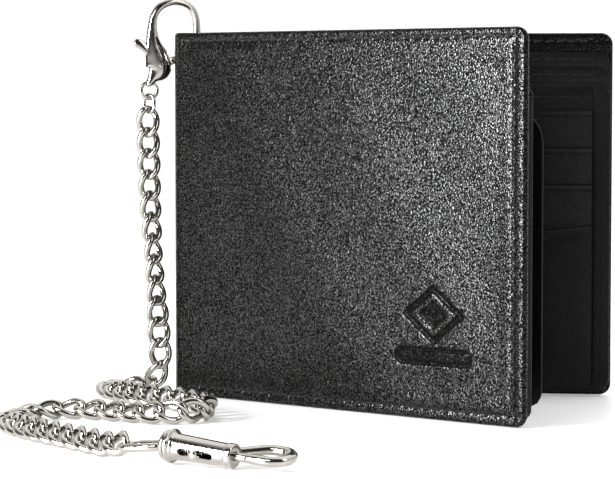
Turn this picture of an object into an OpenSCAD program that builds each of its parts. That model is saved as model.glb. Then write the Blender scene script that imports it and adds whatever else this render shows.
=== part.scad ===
// Bifold leather wallet with a card leaf, hung from a curb chain by a lobster
// clasp in the spine's eyelet and ending in a swivel bolt snap.
// Millimetres. Origin: middle of the spine's bottom edge. +Z up, +X into the
// fold, +Y towards the back cover. The front cover stands still, and the spine,
// the back cover and the leaf turn about upright hinge lines.

/* [Covers] */
// Width of each cover, from its hinge line to its free edge
cover_w = 110.5; // [104:0.5:116]
// Height of the covers
cover_h = 95; // [92:1:98]
// Width of the spine, between the two hinge lines
spine_w = 12; // [12:0.5:13]
// Angle of each cover away from the closed position, half of the opening
fold_half = 16; // [15:0.5:17]
// Radius of the covers' free corners
corner_r = 3; // [2:0.5:4]

/* [Leather] */
// Distance of the outer face from the hinge line
outer_t = 0.8; // [0.6:0.1:1]
// Thickness of the turned hem round the inside of a cover
hem_t = 0.6; // [0.4:0.1:0.8]
// Width of the turned hem
hem_w = 5; // [4:0.5:5.5]
// Thickness of one card slot strip
slot_t = 0.55; // [0.4:0.05:0.6]
// Width of the border strip beside the card slots
border_w = 4.4; // [4:0.2:5]

/* [Stitching] */
// Distance from one stitch to the next
stitch_pitch = 3; // [2.5:0.25:4]
// Length of one stitch
stitch_len = 2.2; // [1.8:0.1:2.3]

/* [Leaf] */
// Length of the card leaf from its hinge line
leaf_len = 98; // [90:1:100]
// Top edge of the leaf
leaf_top = 75; // [70:1:78]
// Lean of the leaf away from the middle of the fold, towards the front cover
leaf_lean = 3; // [2:0.5:4]

/* [Eyelet and clasp] */
// Inner radius of the eyelet
eyelet_r = 3.2; // [3.2:0.05:3.3]
// Angle of the clasp's plane from +X
clasp_turn = 44; // [43:0.5:45]
// Radius of the clasp's hook, at the middle of its wire
hook_r = 6.15; // [6:0.05:6.3]
// Radius of the hook's wire
hook_wire_r = 1; // [0.9:0.05:1.05]

/* [Chain] */
// Width of the chain across its links
chain_w = 5; // [4:0.2:5]

/* [Snap] */
// Length of the snap's barrel
barrel_len = 16.4; // [15.8:0.2:16.6]
// Radius of the snap's bolt
bolt_r = 0.95; // [0.9:0.05:1]
// Radius of the snap's hook wire
snap_wire_r = 1.15; // [1.05:0.05:1.15]
// Radius of the snap hook's bend, at the middle of its wire
snap_bend_r = 3.8; // [3.8:0.05:4]
// Heading of the snap from +X
snap_heading = -8; // [-10:1:-6]
// Dip of the snap towards its hook
snap_dip = 4; // [3.4:0.2:4]
// Roll of the snap's hook about its barrel
snap_roll = 8.6; // [6:0.2:10]

/* [Hidden] */

$fn = 48;
slack = 0.05;            // running clearance round a pin
skin = 0.2;              // depth over which a stitch stands proud
leather_in = 0.4;        // inner face of a cover's outer leather
lining_t = 0.4;
sheet_start = 0.9;       // where a cover begins, clear of the hinge line
stack_start = 6;         // where the inner layers begin
stack_end = cover_w - 0.5;
stack_foot = 1;          // bottom edge of the inner layers
divider_t = 0.5;
divider_n = leather_in + hem_t;
panel_n = divider_n + 2 * divider_t;
panel_t = 0.6;
slot_n = panel_n + panel_t;
slot_end = cover_w - 5.2;
slot_start = 9;
slot_gap = 0.12;         // air left in a card slot
slot_tail = 4;           // depth that a strip tucks behind the next one
outer_divider_top = cover_h - 5.1;
inner_divider_top = cover_h - 9.1;
panel_top = cover_h - 14.3;
// Top edges of the card slot strips, and of the pocket under them
slot_tops = [cover_h - 20.1, cover_h - 29.9, cover_h - 39.5, cover_h - 50.1];
pocket_drop = 11;        // fall of the pocket's edge towards the spine
pocket_tail = 15;        // depth of the last strip behind the pocket

// Stitch lines of a cover, from its top, free and bottom edges
stitch_top = 2.2;
stitch_side = 3.2;
stitch_foot = 2.6;

spine_in = 0.2;          // inner face of the spine's leather
spine_lining_w = spine_w - 2;
spine_lining_in = 0.6;   // inner face of the spine's lining
eyelet_z = cover_h - 5.3;
eyelet_wall = 0.5;
eyelet_flange_r = eyelet_r + 1.7;
eyelet_flange_t = 0.25;
washer_t = 0.3;

leaf_x = 2.5;            // hinge line of the leaf
leaf_root = 0.8;
leaf_foot = 1;
leaf_core = 0.35;        // half thickness of the leaf's panel
leaf_face_t = 0.5;

// Points of the clasp, in its plane: x along the plane, y upwards, both from
// the middle of the eyelet
hook_c = [3.2 - hook_r, 7.5];
hook_foot = -1.6;
clasp_t = 3;
clasp_slot_t = 1.7;
lever_t = 1.2;
lever_pin = [-6.9, -3.2];
lever_pin_r = 0.5;
gate_tip = [2, -0.4];
thumb_tip = [-13.6, 2.6];
clasp_outline = [
    [-10.1, 7.7], [-11.2, 3], [-11.6, -1.7], [-11.5, -5.2], [-11, -6.9],
    [-11, -8.9], [-9.3, -8.9], [-9.2, -7], [-7.2, -6], [-5.1, -3.8],
    [-4.6, -2.3], [-5.1, -0.5], [-6.2, 1.3], [-7.3, 3.8], [-8, 6.3], [-8.1, 7.7]
];
lug_x = -10.1;
lug_z = -7.6;
lug_hole_r = 0.85;
lug_half_t = 1.15;
ring_r = 2.1;
ring_wire_r = 0.5;
ring_turn = 34;          // heading of the jump ring's plane
link_turn = -14;         // heading of the connector link's plane
link_wire_r = 0.45;
link_bend_r = 1.7;
link_len = 4.7;          // between the link's two ends, at the wire's middle

// Route of the chain's middle, from under the connector link to the snap's eye
CHAIN_ROUTE = [
    [-7.5, -7.3, 73], [-7.3, -7.4, 64], [-6.9, -7.6, 54], [-6.3, -7.8, 44],
    [-5.4, -8.1, 34], [-4.5, -8.4, 24], [-3.7, -8.8, 15], [-3.4, -9, 8.5],
    [-5.2, -8.6, 4.2], [-8.6, -7.2, 2.6], [-12, -6.2, 2.6], [-15.2, -7, 2.6],
    [-16.6, -11.2, 2.6], [-15, -17, 2.6], [-11, -22.4, 2.6], [-5, -27.2, 2.6],
    [1.5, -31.4, 2.6], [9.5, -35.3, 2.6], [18, -39.5, 2.6], [25.8, -44.8, 2.6],
    [30.6, -52.2, 2.6], [29, -59.4, 2.6], [22, -62.4, 2.6], [13, -61.8, 2.6],
    [3.5, -61, 2.6], [-4.6, -62.6, 2.6], [-9.2, -69, 2.6], [-9.3, -77.5, 2.6],
    [-5.8, -86, 2.6], [0.4, -92.8, 2.6], [7.8, -98.8, 2.6], [15.8, -104, 2.6],
    [24, -108.8, 2.6], [31.8, -113.4, 2.8], [38.9, -117.2, 3.4]
];
CHAIN_STEPS = 2;         // rings from one point of the route to the next
CHAIN_SIDES = 8;

snap_at = [53, -119.4, 3.92];
flange_r = 3.8;
neck_r = 3.2;
barrel_back_r = 2.9;
barrel_front_r = 2.5;
lip_r = 2.72;
lip_len = 1.6;
chamber_r = 1.7;
chamber_from = 1.2;
chamber_to = 13.4;
stem_r = 1;
stem_head_r = 1.6;
eye_wire_r = 0.8;
eye_bend_r = 3.2;
eye_bend_x = -9.2;
eye_droop = 9;           // angle of the eye's loop below the snap's axis
shoulder_x = 7;          // rear face of the bolt's shoulder at rest
stud_x = 7.9;
stud_r = 0.75;
bolt_end = barrel_len + 3.2;
snap_bend_x = 23.8;
snap_limb_x = 20.4;      // where the far limb starts to slant back to the barrel
snap_slant = 43;
snap_root_r = 1.1;
elbow = 0.28;            // run of each limb past the corner between them

// ---- Placing ----

// Local frame of a cover: x along the cover, y towards the inside of the fold
module on_front() {
    translate([0, -spine_w / 2, 0]) rotate([0, 0, -fold_half]) children();
}

module on_back() {
    translate([0, spine_w / 2, 0]) rotate([0, 0, fold_half]) mirror([0, 1, 0]) children();
}

// Local frame of the leaf: x along it, y towards the back cover
module on_leaf() {
    translate([leaf_x, 0, 0]) rotate([0, 0, -leaf_lean]) children();
}

module on_clasp(turn = clasp_turn) {
    translate([0, 0, eyelet_z]) rotate([0, 0, turn]) children();
}

// Local frame of the snap: x along the barrel, towards the hook
module on_snap(roll = snap_roll) {
    translate(snap_at) rotate([0, 0, snap_heading]) rotate([0, snap_dip, 0])
        rotate([roll, 0, 0]) children();
}

// An outline drawn in x and z, thickened from y = n0 to y = n1
module slab(n0, n1) {
    translate([0, n1, 0]) rotate([90, 0, 0]) linear_extrude(n1 - n0) children();
}

// A round bar along x
module bar_x(x0, x1, r1, r2) {
    translate([x0, 0, 0]) rotate([0, 90, 0]) cylinder(h = x1 - x0, r1 = r1, r2 = r2);
}

// Outline from u0 to u1 and z0 to z1, with both corners at u1 rounded
module free_edge_outline(u0, u1, z0, z1, r_low, r_high) {
    r_side = max(r_low, r_high);
    translate([u0, z0]) square([u1 - u0 - r_side, z1 - z0]);
    translate([u0, z0 + r_low]) square([u1 - u0, z1 - z0 - r_low - r_high]);
    translate([u1 - r_low, z0 + r_low]) circle(r_low);
    translate([u1 - r_high, z1 - r_high]) circle(r_high);
    translate([u1 - r_side - slack, z0]) square([r_side - r_low + slack, r_side]);
    translate([u1 - r_side - slack, z1 - r_side]) square([r_side - r_high + slack, r_side]);
}

// ---- Covers ----

module cover_leather() {
    color("#1b191a") difference() {
        slab(-outer_t, divider_n)
            free_edge_outline(sheet_start, cover_w, 0, cover_h, corner_r, corner_r);
        slab(leather_in, divider_n + 1)
            translate([sheet_start - 1, hem_w])
                square([cover_w - hem_w - sheet_start + 1, cover_h - 2 * hem_w]);
    }
}

module cover_lining() {
    color("#151516") slab(leather_in, leather_in + lining_t)
        translate([sheet_start, hem_w])
            square([cover_w - hem_w - sheet_start, cover_h - 2 * hem_w]);
}

module inner_sheet(n, t, top) {
    color("#201e1f") slab(n, n + t)
        free_edge_outline(stack_start, stack_end, stack_foot, top, corner_r, corner_r);
}

// One card slot strip: a tilted plate whose lower edge tucks behind the next
// strip. The profile is drawn in height and depth and runs along the cover.
module slot_strip(z_top, z_next, tail, t, u0, u1, n) {
    pitch = z_top - z_next;
    tail_n = n + t * (1 - tail / pitch) - slot_gap;
    color("#232122") translate([u0, 0, 0]) rotate([90, 0, 90]) linear_extrude(u1 - u0)
        polygon([
            [n + t, z_top], [n + 2 * t, z_top], [n + t - slot_gap, z_next],
            [max(tail_n, n + 0.1), z_next - tail], [n, z_next - tail], [n, z_next]
        ]);
}

module card_slot(i) {
    last = i == 2;
    z_next = last ? slot_tops[3] + 0.4 : slot_tops[i + 1];
    slot_strip(slot_tops[i], z_next, last ? pocket_tail : slot_tail,
        slot_t, slot_start, slot_end, slot_n);
}

module slip_pocket() {
    color("#232122") slab(slot_n + slot_t, slot_n + 2 * slot_t)
        polygon([
            [slot_start, stack_foot + 1], [slot_end, stack_foot + 1],
            [slot_end, slot_tops[3]], [slot_start, slot_tops[3] - pocket_drop]
        ]);
}

module border_strip() {
    color("#232122") slab(slot_n, slot_n + slot_t)
        free_edge_outline(slot_end + 0.3, slot_end + 0.3 + border_w,
            stack_foot + 1, panel_top, 2, 2);
}

// Stitches round the three turned edges of a cover
module cover_stitches() {
    run_u = [stack_start : stitch_pitch : cover_w - stitch_side - stitch_len];
    run_z = [stitch_foot + 1 : stitch_pitch : cover_h - stitch_top - stitch_len];
    color("#0c0c0c") slab(-outer_t - skin, -outer_t) {
        for (u = run_u, z = [stitch_foot, cover_h - stitch_top])
            translate([u, z - skin]) square([stitch_len, 2 * skin]);
        for (z = run_z)
            translate([cover_w - stitch_side - skin, z]) square([2 * skin, stitch_len]);
    }
}

module front_leather() { on_front() cover_leather(); }
module front_lining() { on_front() cover_lining(); }
module front_divider() { on_front() inner_sheet(divider_n, 2 * divider_t, inner_divider_top); }
module front_panel() { on_front() inner_sheet(panel_n, panel_t, panel_top); }
module front_slot_1() { on_front() card_slot(0); }
module front_slot_2() { on_front() card_slot(1); }
module front_slot_3() { on_front() card_slot(2); }
module front_pocket() { on_front() slip_pocket(); }
module front_border() { on_front() border_strip(); }
module front_thread() { on_front() cover_stitches(); }

module back_leather() { on_back() cover_leather(); }
module back_lining() { on_back() cover_lining(); }
module back_outer_divider() { on_back() inner_sheet(divider_n, divider_t, outer_divider_top); }
module back_inner_divider() {
    on_back() inner_sheet(divider_n + divider_t, divider_t, inner_divider_top);
}
module back_panel() { on_back() inner_sheet(panel_n, panel_t, panel_top); }
module back_slot_1() { on_back() card_slot(0); }
module back_slot_2() { on_back() card_slot(1); }
module back_slot_3() { on_back() card_slot(2); }
module back_pocket() { on_back() slip_pocket(); }
module back_border() { on_back() border_strip(); }
module back_thread() { on_back() cover_stitches(); }

// ---- Spine and eyelet ----

module spine_sheet(x0, x1, w, hole_r) {
    difference() {
        translate([x0, -w / 2, 0]) cube([x1 - x0, w, cover_h]);
        translate([0, 0, eyelet_z]) bar_x(x0 - 1, x1 + 1, hole_r, hole_r);
    }
}

module spine_leather() {
    color("#1b191a") {
        spine_sheet(-outer_t, spine_in, spine_w, eyelet_r + eyelet_wall);
        for (y = [-spine_w / 2, spine_w / 2])
            translate([0, y, 0]) cylinder(h = cover_h, r = outer_t);
    }
}

module spine_lining() {
    color("#201e1f")
        spine_sheet(spine_in, spine_lining_in, spine_lining_w, eyelet_r + eyelet_wall);
}

// Tab that holds the leaf's root to the spine
module leaf_tab() {
    color("#201e1f") translate([spine_lining_in, -leaf_core, leaf_foot + 2])
        cube([leaf_x - spine_lining_in, 2 * leaf_core, leaf_top - leaf_foot - 4]);
}

// Tube through the spine with a flange outside
module eyelet() {
    wall_r = eyelet_r + eyelet_wall;
    color("#cfccc6") translate([0, 0, eyelet_z]) rotate([0, 90, 0]) rotate_extrude()
        polygon([
            [eyelet_r, -outer_t - eyelet_flange_t],
            [eyelet_flange_r, -outer_t - eyelet_flange_t],
            [eyelet_flange_r, -outer_t], [wall_r, -outer_t],
            [wall_r, spine_lining_in + washer_t + 0.1],
            [eyelet_r, spine_lining_in + washer_t + 0.1]
        ]);
}

module eyelet_washer() {
    color("#cfccc6") translate([0, 0, eyelet_z]) difference() {
        bar_x(spine_lining_in, spine_lining_in + washer_t, eyelet_flange_r, eyelet_flange_r);
        bar_x(spine_lining_in - 1, spine_lining_in + 1,
            eyelet_r + eyelet_wall, eyelet_r + eyelet_wall);
    }
}

// ---- Lobster clasp ----

// A wire ring or arc in the x-z plane
module wire_arc(bend_r, wire_r, angle) {
    rotate([90, 0, 0]) rotate_extrude(angle = angle) translate([bend_r, 0]) circle(wire_r);
}

module clasp_hook() {
    translate([hook_c.x, 0, hook_c.y]) wire_arc(hook_r, hook_wire_r, 180);
    translate([hook_c.x + hook_r, 0, hook_foot])
        cylinder(h = hook_c.y - hook_foot, r = hook_wire_r);
    translate([hook_c.x + hook_r, 0, hook_foot]) sphere(hook_wire_r);
}

// Everything that the lever sweeps, with room round it
module lever_room() {
    slab(-clasp_slot_t / 2, clasp_slot_t / 2) translate(lever_pin) {
        circle(1.7);
        polygon([[0, 1.6], [0, -1.6], [6, 0], [6, 6.5], [3, 5]]);
        polygon([[0.6, 1.9], [-1, -1.6], [-8, 0.6], [-8, 10.4]]);
    }
}

module clasp_body() {
    color("#cfccc6") on_clasp() {
        clasp_hook();
        difference() {
            slab(-clasp_t / 2, clasp_t / 2) polygon(clasp_outline);
            lever_room();
            translate([lever_pin.x, clasp_t, lever_pin.y]) rotate([90, 0, 0])
                cylinder(h = 2 * clasp_t, r = lever_pin_r);
            translate([0, 0, lug_z]) bar_x(lug_x - 2, lug_x + 2, lug_hole_r, lug_hole_r);
            for (side = [-1, 1])
                translate([lug_x - 2.5, side * (lug_half_t + 0.5) - 0.5, lug_z - 2])
                    cube([5, 1, 2.8]);
        }
    }
}

module clasp_pin() {
    color("#b9b6b0") on_clasp() translate([lever_pin.x, clasp_t / 2, lever_pin.y])
        rotate([90, 0, 0]) cylinder(h = clasp_t, r = lever_pin_r);
}

module clasp_spring() {
    color("#8f8d89") on_clasp() translate([lever_pin.x, 0.4, lever_pin.y])
        wire_arc(0.95, 0.25, 360);
}

// Gate, hub and thumb tab in one piece; one side of the hub is cut back for
// the spring
module clasp_lever() {
    color("#cfccc6") on_clasp() difference() {
        slab(-lever_t / 2, lever_t / 2) {
            translate(lever_pin) circle(1.3);
            polygon([
                lever_pin + [0.3, 1.2], lever_pin + [0.6, -1.1],
                gate_tip - [0, 0.65], gate_tip + [0, 0.6]
            ]);
            polygon([
                lever_pin + [-0.9, -0.9], lever_pin + [0.8, 0.9],
                thumb_tip + [1, 1.2], thumb_tip + [0, -1]
            ]);
            translate(thumb_tip + [0.6, 0.2]) circle(1.2);
        }
        translate([lever_pin.x, clasp_t, lever_pin.y]) rotate([90, 0, 0])
            cylinder(h = 2 * clasp_t, r = lever_pin_r + slack);
        translate([lever_pin.x, lever_t, lever_pin.y]) rotate([90, 0, 0])
            cylinder(h = lever_t, r = 1.45);
    }
}

module jump_ring() {
    color("#cfccc6") on_clasp() translate([lug_x, 0, lug_z - ring_r])
        rotate([0, 0, ring_turn - clasp_turn]) wire_arc(ring_r, ring_wire_r, 360);
}

module connector_link() {
    bend_z = link_len / 2 - link_bend_r;
    top_z = lug_z - 2 * ring_r + ring_wire_r + link_wire_r + slack;
    color("#cfccc6") on_clasp() translate([lug_x, 0, top_z - link_len / 2])
        rotate([0, 0, link_turn - clasp_turn]) {
            translate([0, 0, bend_z]) wire_arc(link_bend_r, link_wire_r, 180);
            translate([0, 0, -bend_z]) rotate([0, 180, 0])
                wire_arc(link_bend_r, link_wire_r, 180);
            for (x = [-link_bend_r, link_bend_r])
                translate([x, 0, -bend_z]) cylinder(h = 2 * bend_z, r = link_wire_r);
        }
}

// ---- Leaf ----

module leaf_outline(margin) {
    free_edge_outline(leaf_root + margin, leaf_len - margin, leaf_foot + margin,
        leaf_top - margin, 4, 8);
}

module leaf_panel() {
    color("#201e1f") on_leaf() slab(-leaf_core, leaf_core) leaf_outline(0);
}

// Frame round the clear window, on the side of the back cover
module leaf_frame() {
    color("#232122") on_leaf() difference() {
        slab(leaf_core, leaf_core + leaf_face_t) leaf_outline(1);
        slab(leaf_core - 1, leaf_core + 1)
            translate([12, 10]) square([leaf_len - 24, leaf_top - 22]);
    }
}

module leaf_window() {
    color([0.85, 0.88, 0.9, 0.35]) on_leaf() slab(leaf_core, leaf_core + 0.2)
        translate([12, 10]) square([leaf_len - 24, leaf_top - 22]);
}

// Card slot strips on the side of the front cover
module leaf_slot(z_top, z_next, tail) {
    on_leaf() mirror([0, 1, 0])
        slot_strip(z_top, z_next, tail, 0.4, 4, leaf_len - 8, leaf_core);
}

module leaf_slot_1() { leaf_slot(leaf_top - 8, leaf_top - 20, slot_tail); }
module leaf_slot_2() { leaf_slot(leaf_top - 20, leaf_foot + 4, 1); }

// ---- Chain ----

function unit(v) = v / norm(v);
function across(n, t) = unit(n - t * (n * t));
// Point of a smooth curve through a, b, c and d, at t of the way from b to c
function on_curve(a, b, c, d, t) = 0.5 * (
    2 * b + (c - a) * t + (2 * a - 5 * b + 4 * c - d) * t * t
    + (3 * b - a - 3 * c + d) * t * t * t
);
function route_points(p, steps) = [
    for (i = [0 : len(p) - 2], k = [0 : steps - 1])
        on_curve(p[max(i - 1, 0)], p[i], p[i + 1], p[min(i + 2, len(p) - 1)], k / steps),
    p[len(p) - 1]
];
function headings(p) = [
    for (i = [0 : len(p) - 1]) unit(p[min(i + 1, len(p) - 1)] - p[max(i - 1, 0)])
];
// One direction across each heading, carried along without twist
function carried(t) = [
    for (i = 0, n = across([1, 0, 0], t[0]); i < len(t);
        i = i + 1, n = i < len(t) ? across(n, t[i]) : n) n
];

module tube_along(p, r, sides) {
    t = headings(p);
    n = carried(t);
    rings = len(p);
    points = [
        for (i = [0 : rings - 1], k = [0 : sides - 1])
            p[i] + r * (cos(360 * k / sides) * n[i] + sin(360 * k / sides) * cross(t[i], n[i]))
    ];
    walls = [
        for (i = [0 : rings - 2], k = [0 : sides - 1]) [
            i * sides + k, (i + 1) * sides + k,
            (i + 1) * sides + (k + 1) % sides, i * sides + (k + 1) % sides
        ]
    ];
    first = [for (k = [0 : sides - 1]) k];
    last = [for (k = [sides - 1 : -1 : 0]) (rings - 1) * sides + k];
    polyhedron(points, concat(walls, [first, last]));
}

module chain() {
    color("#cfccc6")
        tube_along(route_points(CHAIN_ROUTE, CHAIN_STEPS), chain_w / 2, CHAIN_SIDES);
}

// ---- Swivel bolt snap ----

module swivel_eye() {
    color("#cfccc6") on_snap(0) {
        rotate([0, -eye_droop, 0]) {
            translate([eye_bend_x, 0, 0]) rotate([0, 0, 90])
                rotate_extrude(angle = 180) translate([eye_bend_r, 0]) circle(eye_wire_r);
            for (y = [-eye_bend_r, eye_bend_r])
                translate([0, y, 0]) bar_x(eye_bend_x, -1, eye_wire_r, eye_wire_r);
        }
        bar_x(-1.7, -0.15, flange_r - 0.6, flange_r - 0.4);
        bar_x(-0.5, chamber_from + 0.2, stem_r, stem_r);
        bar_x(chamber_from + 0.1, chamber_from + 0.9, stem_head_r, stem_head_r);
    }
}

module snap_barrel() {
    color("#cfccc6") on_snap() difference() {
        union() {
            bar_x(0, 1, flange_r, flange_r);
            bar_x(1, 1.8, neck_r, neck_r);
            bar_x(1.8, barrel_len, barrel_back_r, barrel_front_r);
            bar_x(barrel_len - lip_len, barrel_len, lip_r, lip_r);
        }
        bar_x(-1, chamber_from + 0.05, stem_r + slack, stem_r + slack);
        bar_x(chamber_from, chamber_to, chamber_r, chamber_r);
        bar_x(chamber_to - 0.05, barrel_len + 1, bolt_r + slack, bolt_r + slack);
        // Slot for the thumb stud
        translate([stud_x - 4.4, -lip_r - 1, -stud_r - 0.1])
            cube([8.6, lip_r + 1, 2 * stud_r + 0.2]);
    }
}

// Fixed hook, from the barrel's lip round to the tip that meets the bolt
module snap_hook() {
    color("#cfccc6") on_snap() difference() {
        union() {
            translate([snap_bend_x, snap_bend_r, 0]) rotate([0, 0, -90])
                rotate_extrude(angle = 180) translate([snap_bend_r, 0]) circle(snap_wire_r);
            bar_x(bolt_end, snap_bend_x, snap_wire_r, snap_wire_r);
            translate([snap_limb_x, 2 * snap_bend_r, 0]) {
                bar_x(-elbow, snap_bend_x - snap_limb_x, snap_wire_r, snap_wire_r);
                rotate([0, 0, 180 + snap_slant])
                    bar_x(-elbow, 6.8, snap_root_r, snap_root_r);
            }
        }
        bar_x(barrel_len - 5, barrel_len, lip_r, lip_r);
    }
}

module snap_bolt() {
    color("#cfccc6") on_snap() {
        bar_x(chamber_from + 4.7, shoulder_x, 0.6, 0.6);
        bar_x(shoulder_x, bolt_end - 0.05, bolt_r, bolt_r);
        bar_x(shoulder_x, shoulder_x + 2, chamber_r - slack, chamber_r - slack);
    }
}

module bolt_thumb_stud() {
    color("#cfccc6") on_snap() translate([stud_x, -chamber_r + 0.1, 0])
        rotate([90, 0, 0]) {
            cylinder(h = 1.7, r = stud_r);
            translate([0, 0, 1.7]) cylinder(h = 0.7, r = stud_r + 0.35);
        }
}

// Compression spring behind the bolt's shoulder, as the tube that it fills
module bolt_spring() {
    color("#8f8d89") on_snap() difference() {
        bar_x(chamber_from + 1, shoulder_x - 0.05, chamber_r - 0.15, chamber_r - 0.15);
        bar_x(chamber_from, shoulder_x, 1, 1);
    }
}

front_leather();
front_lining();
front_divider();
front_panel();
front_slot_1();
front_slot_2();
front_slot_3();
front_pocket();
front_border();
front_thread();
back_leather();
back_lining();
back_outer_divider();
back_inner_divider();
back_panel();
back_slot_1();
back_slot_2();
back_slot_3();
back_pocket();
back_border();
back_thread();
spine_leather();
spine_lining();
leaf_tab();
eyelet();
eyelet_washer();
clasp_body();
clasp_pin();
clasp_spring();
clasp_lever();
jump_ring();
connector_link();
leaf_panel();
leaf_frame();
leaf_window();
leaf_slot_1();
leaf_slot_2();
chain();
swivel_eye();
snap_barrel();
snap_hook();
snap_bolt();
bolt_thumb_stud();
bolt_spring();
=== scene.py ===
# Visual model of a bifold leather chain wallet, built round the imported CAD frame.
# Helpers work in millimetres, in the row frame or in a part's local frame; mesh
# data is stored in metres.
import math

import bmesh
import bpy
import numpy as np
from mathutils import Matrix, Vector


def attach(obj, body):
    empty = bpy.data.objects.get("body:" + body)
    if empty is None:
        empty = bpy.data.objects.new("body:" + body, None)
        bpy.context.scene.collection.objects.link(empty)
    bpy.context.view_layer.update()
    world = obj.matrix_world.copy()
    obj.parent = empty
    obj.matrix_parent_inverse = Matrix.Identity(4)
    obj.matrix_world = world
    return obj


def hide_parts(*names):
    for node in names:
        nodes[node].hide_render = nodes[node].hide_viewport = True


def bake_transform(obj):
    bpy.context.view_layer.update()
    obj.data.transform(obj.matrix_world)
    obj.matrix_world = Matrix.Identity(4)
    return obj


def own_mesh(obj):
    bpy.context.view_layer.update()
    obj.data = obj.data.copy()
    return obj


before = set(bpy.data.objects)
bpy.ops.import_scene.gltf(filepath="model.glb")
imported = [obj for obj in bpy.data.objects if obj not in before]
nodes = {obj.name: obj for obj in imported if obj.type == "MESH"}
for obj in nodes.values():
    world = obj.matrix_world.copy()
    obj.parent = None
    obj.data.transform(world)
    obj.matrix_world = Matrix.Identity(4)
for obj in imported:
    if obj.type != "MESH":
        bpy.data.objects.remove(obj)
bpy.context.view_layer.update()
random = np.random.default_rng(11)

MM = 0.001
FAR = 1e3

# Sizes shared with the CAD source, in millimetres
COVER_W = 110.5
COVER_H = 95.0
HINGE_Y = 6.0
FOLD_HALF = 16.0
OUTER_N = -0.8
LEATHER_IN = 0.4
HEM_N = 1.0
HEM_W = 5.0
STACK_START = 6.0
STACK_END = 110.0
STACK_FOOT = 1.0
SLOT_START = 9.0
SLOT_END = 105.3
SLOT_N = 2.6
SLOT_T = 0.55
SLOT_TOPS = [74.9, 65.1, 55.5, 44.9]
PANEL_TOP = 80.7
EYELET_Z = 89.7
LEAF_LEN = 98.0
LEAF_TOP = 75.0
DIVIDER_TOP = 85.9
OUTER_DIVIDER_TOP = 89.9
EYELET_HOLE_R = 3.75


def new_object(name, data):
    obj = bpy.data.objects.new(name, data)
    bpy.context.scene.collection.objects.link(obj)
    return obj


# ---- Camera ----

CAMERA_AT = (0.28555, -0.60134, 0.07949)
CAMERA_DIP = 3.356
CAMERA_TURN = 22.622
CAMERA_LENS = 146.87


def make_camera():
    camera = new_object("camera", bpy.data.cameras.new("camera"))
    camera.data.sensor_width = 36
    camera.data.lens = CAMERA_LENS
    camera.data.clip_start = 0.01
    camera.data.clip_end = 50
    camera.location = CAMERA_AT
    camera.rotation_euler = (
        math.radians(90 - CAMERA_DIP), 0, math.radians(CAMERA_TURN)
    )
    bpy.context.scene.camera = camera


make_camera()


# ---- Placing ----

def turn(axis, degrees):
    a = math.radians(degrees)
    c, s = math.cos(a), math.sin(a)
    rows = {
        "x": [[1, 0, 0], [0, c, -s], [0, s, c]],
        "y": [[c, 0, s], [0, 1, 0], [-s, 0, c]],
        "z": [[c, -s, 0], [s, c, 0], [0, 0, 1]],
    }
    return np.array(rows[axis])


def placer(origin, matrix):
    return lambda points: np.asarray(points, float) @ np.asarray(matrix).T + origin


LEAF_HINGE = (2.5, 0, 0)
LEAF_TURN = -3
CLASP_TURN = 44
SNAP_AT = (53, -119.4, 3.92)
SNAP_AXES = turn("z", -8) @ turn("y", 4)
EYE_TILT = -9
HOOK_ROLL = 8.6
FLIP_Y = np.diag([1.0, -1.0, 1.0])
on_front = placer((0, -HINGE_Y, 0), turn("z", -FOLD_HALF))
on_back = placer((0, HINGE_Y, 0), turn("z", FOLD_HALF) @ FLIP_Y)
on_leaf = placer(LEAF_HINGE, turn("z", LEAF_TURN))
on_leaf_front = placer(LEAF_HINGE, turn("z", LEAF_TURN) @ FLIP_Y)
on_eyelet = placer((0, 0, EYELET_Z), np.eye(3))
on_clasp = placer((0, 0, EYELET_Z), turn("z", CLASP_TURN))
on_eye = placer(SNAP_AT, SNAP_AXES)
on_loop = placer(SNAP_AT, SNAP_AXES @ turn("y", EYE_TILT))
on_snap = placer(SNAP_AT, SNAP_AXES @ turn("x", HOOK_ROLL))


# ---- Meshes ----
# A shape is a pair: points in millimetres, and faces as lists of their indices.

SQUARE = (0, 0, 0, 0)


def add_mesh(name, shape, material, sharp=40):
    points, faces = shape
    mesh = bpy.data.meshes.new(name)
    mesh.from_pydata((np.asarray(points) * MM).tolist(), [], faces)
    tool = bmesh.new()
    tool.from_mesh(mesh)
    bmesh.ops.recalc_face_normals(tool, faces=tool.faces)
    tool.to_mesh(mesh)
    tool.free()
    mesh.materials.append(material)
    mesh.shade_smooth()
    mesh.set_sharp_from_angle(angle=math.radians(sharp))
    return new_object(name, mesh)


def apply_modifiers(obj, sharp=40):
    graph = bpy.context.evaluated_depsgraph_get()
    mesh = bpy.data.meshes.new_from_object(obj.evaluated_get(graph))
    obj.modifiers.clear()
    obj.data = mesh
    mesh.shade_smooth()
    mesh.set_sharp_from_angle(angle=math.radians(sharp))


def cut(obj, cutters, sharp=40):
    """Takes closed cutter objects out of obj, and deletes them."""
    for cutter in cutters:
        tool = obj.modifiers.new("cut", "BOOLEAN")
        tool.operation = "DIFFERENCE"
        tool.solver = "EXACT"
        tool.object = cutter
    apply_modifiers(obj, sharp)
    for cutter in cutters:
        bpy.data.objects.remove(cutter)


def finish_piece(obj, body, replaced=()):
    """obj rides on body, in place of the replaced CAD nodes, which are hidden."""
    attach(obj, body)
    if replaced:
        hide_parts(*replaced)


def add_piece(name, shape, material, body, replaced=()):
    finish_piece(add_mesh(name, shape, material), body, replaced)


def placed(place, shape):
    points, faces = shape
    return place(points), faces


def unit(v):
    """A vector, or each row of several, at length one."""
    return v / np.linalg.norm(v, axis=-1, keepdims=True)


def square_to(v, axis):
    """The part of v that is square to a unit axis, at length one."""
    return unit(v - axis * (v * axis).sum(-1, keepdims=True))


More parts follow.
